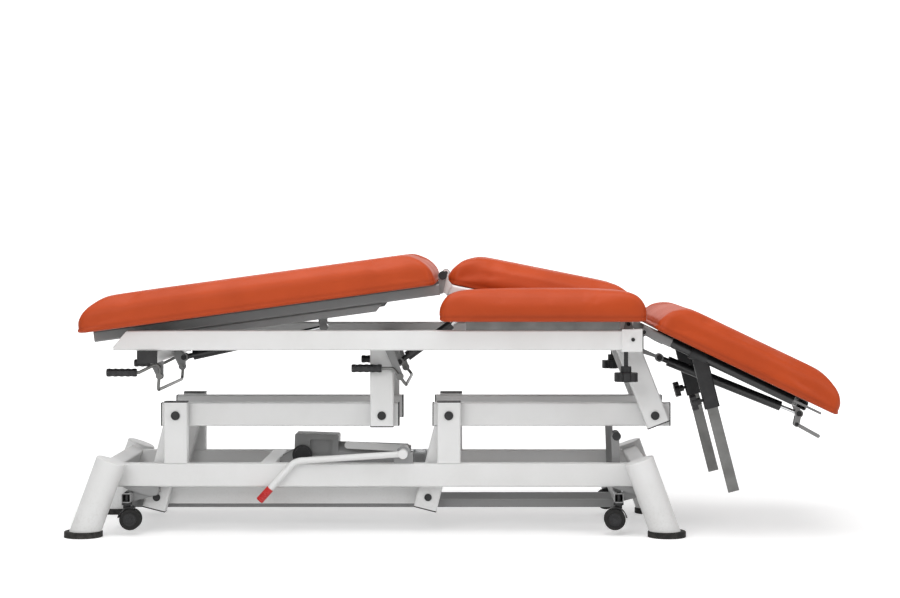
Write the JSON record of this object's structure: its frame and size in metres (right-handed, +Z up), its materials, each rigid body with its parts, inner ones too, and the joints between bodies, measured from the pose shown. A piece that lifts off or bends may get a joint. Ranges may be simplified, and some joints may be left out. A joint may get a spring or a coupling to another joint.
{
  "type": "massage table",
  "caption": "Height-adjustable massage table with a roof-shaped sectioned top, parallel lift arms, foot pump and retractable casters.",
  "frame": {"origin": "centre of the table's footprint, on the floor under the rubber feet", "axes": "+X along the table to the head section, +Y to the far side, +Z up"},
  "size_m": [1.9574, 0.62, 0.7092],
  "materials": {
    "white_paint": "satin powder coat",
    "grey_paint": "satin powder coat",
    "black_plastic": "moulded",
    "black_steel": "satin black",
    "rubber": "matte",
    "orange_vinyl": "vinyl upholstery",
    "chrome_rod": "polished",
    "bright_steel": "drawn",
    "red_plastic": "moulded"
  },
  "bodies": {
    "base": {"base_tubes": "white_paint", "floor_legs": "white_paint", "rubber_feet": "rubber", "base_fittings": "black_plastic", "base_brackets": "grey_paint"},
    "lift_arms_foot": {"lift_arms_foot": "white_paint", "arm_fittings_foot": "black_plastic"},
    "lift_arms_head": {"lift_arms_head": "white_paint", "arm_fittings_head": "black_plastic"},
    "connecting_rods": {"connecting_rods": "white_paint"},
    "upper_frame": {"main_rails": "white_paint", "cross_members": "white_paint", "support_posts": "white_paint", "upper_fittings": "black_plastic", "upper_brackets": "grey_paint", "side_pad_rails": "bright_steel", "side_pad_near": "orange_vinyl", "side_pad_far": "orange_vinyl"},
    "centre_section": {"centre_frame": "white_paint", "centre_pins": "black_plastic", "centre_pad": "orange_vinyl"},
    "leg_section": {"leg_frame": "grey_paint", "leg_pad": "orange_vinyl"},
    "head_section": {"head_frame": "grey_paint", "head_round_tubes": "black_steel", "head_fittings": "black_plastic", "head_pad": "orange_vinyl"},
    "head_release_lever": {"head_release_lever": "grey_paint"},
    "pump": {"pump_body": "grey_paint"},
    "pump_ram": {"pump_ram": "chrome_rod"},
    "pedal_lever": {"pedal_lever": "white_paint", "pedal_tip": "red_plastic"},
    "wheel_carrier_foot": {"wheel_carrier_foot": "grey_paint"},
    "wheel_carrier_head": {"wheel_carrier_head": "grey_paint", "retraction_grips": "black_plastic"},
    "link_bars": {"link_bars": "grey_paint"},
    "leg_release_bail": {"leg_release_bail": "bright_steel"},
    "centre_release_bail": {"centre_release_bail": "bright_steel"},
    "leg_spring_barrel": {"leg_spring_barrel": "black_steel"},
    "leg_spring_rod": {"leg_spring_rod": "chrome_rod"},
    "centre_spring_barrel": {"centre_spring_barrel": "black_steel"},
    "centre_spring_rod": {"centre_spring_rod": "chrome_rod"},
    "head_spring_barrel": {"head_spring_barrel": "black_steel"},
    "head_spring_rod": {"head_spring_rod": "chrome_rod"},
    "support_bar_near": {"support_bar_near": "bright_steel"},
    "clamp_knob_near": {"clamp_knob_near": "black_plastic"},
    "rail_knob_near": {"rail_knob_near": "black_plastic"},
    "caster_fork_foot_near": {"caster_fork_foot_near": "black_plastic"},
    "caster_wheels_foot_near": {"caster_wheels_foot_near": "rubber"},
    "caster_fork_head_near": {"caster_fork_head_near": "black_plastic"},
    "caster_wheels_head_near": {"caster_wheels_head_near": "rubber"},
    "support_bar_far": {"support_bar_far": "bright_steel"},
    "clamp_knob_far": {"clamp_knob_far": "black_plastic"},
    "rail_knob_far": {"rail_knob_far": "black_plastic"},
    "caster_fork_foot_far": {"caster_fork_foot_far": "black_plastic"},
    "caster_wheels_foot_far": {"caster_wheels_foot_far": "rubber"},
    "caster_fork_head_far": {"caster_fork_head_far": "black_plastic"},
    "caster_wheels_head_far": {"caster_wheels_head_far": "rubber"}
  },
  "joints": [
    {"name": "lift", "type": "hinge", "parent": "base", "child": "lift_arms_foot", "pos_m": [-0.7044, 0, 0.302], "axis": [0, -1, 0], "range_deg": [0, 40]},
    {"name": "lift_head_arms", "type": "hinge", "parent": "base", "child": "lift_arms_head", "pos_m": [-0.0074, 0, 0.302], "axis": [0, -1, 0], "range_deg": [0, 41]},
    {"name": "frame_level", "type": "hinge", "parent": "lift_arms_foot", "child": "upper_frame", "pos_m": [-0.1784, 0, 0.302], "axis": [0, -1, 0], "range_deg": [-41, 0]},
    {"name": "rods_level", "type": "hinge", "parent": "lift_arms_foot", "child": "connecting_rods", "pos_m": [-0.7584, 0, 0.089], "axis": [0, -1, 0], "range_deg": [-41, 0]},
    {"name": "pump_swing", "type": "hinge", "parent": "base", "child": "pump", "pos_m": [-0.3934, 0, 0.188], "axis": [0, -1, 0], "range_deg": [-0.05, 1.31]},
    {"name": "ram_travel", "type": "slide", "parent": "pump", "child": "pump_ram", "axis": [0.9994, 0, -0.0341], "range_m": [0, 0.09078]},
    {"name": "peak_lift", "type": "hinge", "parent": "upper_frame", "child": "centre_section", "pos_m": [0.4506, 0, 0.536], "axis": [0, -1, 0], "range_deg": [0, 11.3]},
    {"name": "leg_section_fold", "type": "hinge", "parent": "centre_section", "child": "leg_section", "pos_m": [-0.02225, 0, 0.66006], "axis": [0, -1, 0], "range_deg": [-19.48, 0]},
    {"name": "leg_spring_swing", "type": "hinge", "parent": "upper_frame", "child": "leg_spring_barrel", "pos_m": [-0.7084, 0, 0.441], "axis": [0, -1, 0], "range_deg": [-7.22, 0]},
    {"name": "leg_spring_travel", "type": "slide", "parent": "leg_spring_barrel", "child": "leg_spring_rod", "axis": [0.9772, 0, 0.2124], "range_m": [-0.04178, 0]},
    {"name": "centre_spring_swing", "type": "hinge", "parent": "upper_frame", "child": "centre_spring_barrel", "pos_m": [-0.1399, 0, 0.429], "axis": [0, -1, 0], "range_deg": [-12.2, 0]},
    {"name": "centre_spring_travel", "type": "slide", "parent": "centre_spring_barrel", "child": "centre_spring_rod", "axis": [0.8092, 0, 0.5876], "range_m": [-0.04318, 0]},
    {"name": "head_tilt", "type": "hinge", "parent": "upper_frame", "child": "head_section", "pos_m": [0.4856, 0, 0.518], "axis": [0, -1, 0], "range_deg": [-8, 25.5]},
    {"name": "head_spring_swing", "type": "hinge", "parent": "upper_frame", "child": "head_spring_barrel", "pos_m": [0.5443, 0, 0.4397], "axis": [0, -1, 0], "range_deg": [-9.61, 30.62]},
    {"name": "head_spring_travel", "type": "slide", "parent": "head_spring_barrel", "child": "head_spring_rod", "axis": [0.9282, 0, -0.372], "range_m": [-0.00907, 0.02891]},
    {"name": "head_release", "type": "hinge", "parent": "head_section", "child": "head_release_lever", "pos_m": [0.9059, 0, 0.2644], "axis": [0, -1, 0], "range_deg": [0, 8], "stiffness_Nm_per_rad": 1.5, "springref_deg": -20.05},
    {"name": "support_bar_slide_near", "type": "slide", "parent": "head_section", "child": "support_bar_near", "axis": [-0.2487, 0, 0.9686], "range_m": [-0.06, 0]},
    {"name": "clamp_knob_turn_near", "type": "hinge", "parent": "head_section", "child": "clamp_knob_near", "pos_m": [0.65342, -0.2175, 0.3494], "axis": [-0.9686, 0, -0.2487], "continuous": true},
    {"name": "rail_knob_turn_near", "type": "hinge", "parent": "upper_frame", "child": "rail_knob_near", "pos_m": [0.4386, -0.255, 0.42], "axis": [0, 0, 1], "continuous": true},
    {"name": "support_bar_slide_far", "type": "slide", "parent": "head_section", "child": "support_bar_far", "axis": [-0.2487, 0, 0.9686], "range_m": [-0.06, 0]},
    {"name": "clamp_knob_turn_far", "type": "hinge", "parent": "head_section", "child": "clamp_knob_far", "pos_m": [0.65342, 0.2175, 0.3494], "axis": [-0.9686, 0, -0.2487], "continuous": true},
    {"name": "rail_knob_turn_far", "type": "hinge", "parent": "upper_frame", "child": "rail_knob_far", "pos_m": [0.4386, 0.255, 0.42], "axis": [0, 0, 1], "continuous": true},
    {"name": "leg_release", "type": "hinge", "parent": "upper_frame", "child": "leg_release_bail", "pos_m": [-0.7429, 0, 0.4045], "axis": [0, 1, 0], "range_deg": [0, 7], "stiffness_Nm_per_rad": 12, "springref_deg": -20.05},
    {"name": "centre_release", "type": "hinge", "parent": "upper_frame", "child": "centre_release_bail", "pos_m": [-0.1319, 0, 0.403], "axis": [0, 1, 0], "range_deg": [0, 7], "stiffness_Nm_per_rad": 12, "springref_deg": -20.05},
    {"name": "pump_pedal", "type": "hinge", "parent": "base", "child": "pedal_lever", "pos_m": [-0.1234, 0, 0.206], "axis": [0, -1, 0], "range_deg": [0, 12], "stiffness_Nm_per_rad": 20, "springref_deg": -28.65},
    {"name": "wheel_lowering", "type": "hinge", "parent": "base", "child": "wheel_carrier_head", "pos_m": [0.4916, 0, 0.108], "axis": [0, -1, 0], "range_deg": [0, 24]},
    {"name": "wheel_lowering_foot", "type": "hinge", "parent": "base", "child": "wheel_carrier_foot", "pos_m": [-0.7584, 0, 0.108], "axis": [0, -1, 0], "range_deg": [0, 25]},
    {"name": "link_bar_level", "type": "hinge", "parent": "wheel_carrier_head", "child": "link_bars", "pos_m": [0.4246, 0, 0.065], "axis": [0, -1, 0], "range_deg": [-25, 0]},
    {"name": "caster_swivel_foot_near", "type": "hinge", "parent": "wheel_carrier_foot", "child": "caster_fork_foot_near", "pos_m": [-0.8254, -0.19, 0.095], "axis": [0, 0, 1], "continuous": true},
    {"name": "caster_roll_foot_near", "type": "hinge", "parent": "caster_fork_foot_near", "child": "caster_wheels_foot_near", "pos_m": [-0.8154, -0.19, 0.041], "axis": [0, 1, 0], "continuous": true},
    {"name": "caster_swivel_foot_far", "type": "hinge", "parent": "wheel_carrier_foot", "child": "caster_fork_foot_far", "pos_m": [-0.8254, 0.19, 0.095], "axis": [0, 0, 1], "continuous": true},
    {"name": "caster_roll_foot_far", "type": "hinge", "parent": "caster_fork_foot_far", "child": "caster_wheels_foot_far", "pos_m": [-0.8154, 0.19, 0.041], "axis": [0, 1, 0], "continuous": true},
    {"name": "caster_swivel_head_near", "type": "hinge", "parent": "wheel_carrier_head", "child": "caster_fork_head_near", "pos_m": [0.4246, -0.19, 0.095], "axis": [0, 0, 1], "continuous": true},
    {"name": "caster_roll_head_near", "type": "hinge", "parent": "caster_fork_head_near", "child": "caster_wheels_head_near", "pos_m": [0.4146, -0.19, 0.041], "axis": [0, 1, 0], "continuous": true},
    {"name": "caster_swivel_head_far", "type": "hinge", "parent": "wheel_carrier_head", "child": "caster_fork_head_far", "pos_m": [0.4246, 0.19, 0.095], "axis": [0, 0, 1], "continuous": true},
    {"name": "caster_roll_head_far", "type": "hinge", "parent": "caster_fork_head_far", "child": "caster_wheels_head_far", "pos_m": [0.4146, 0.19, 0.041], "axis": [0, 1, 0], "continuous": true}
  ],
  "couplings": [
    {"joint": "lift_head_arms", "follows": "lift", "ratio": 1},
    {"joint": "frame_level", "follows": "lift", "ratio": -1},
    {"joint": "rods_level", "follows": "lift", "ratio": -1},
    {"joint": "pump_swing", "follows": "lift", "ratio": 0.030997},
    {"joint": "ram_travel", "follows": "lift", "m_per_rad": 0.12748},
    {"joint": "leg_section_fold", "follows": "peak_lift", "ratio": -1.6903},
    {"joint": "leg_spring_swing", "follows": "peak_lift", "ratio": -0.62629},
    {"joint": "leg_spring_travel", "follows": "peak_lift", "m_per_rad": -0.20767},
    {"joint": "centre_spring_swing", "follows": "peak_lift", "ratio": -1.0587},
    {"joint": "centre_spring_travel", "follows": "peak_lift", "m_per_rad": -0.21467},
    {"joint": "head_spring_swing", "follows": "head_tilt", "ratio": 1.1774},
    {"joint": "head_spring_travel", "follows": "head_tilt", "m_per_rad": 0.063688},
    {"joint": "wheel_lowering_foot", "follows": "wheel_lowering", "ratio": 1},
    {"joint": "link_bar_level", "follows": "wheel_lowering", "ratio": -1}
  ]
}
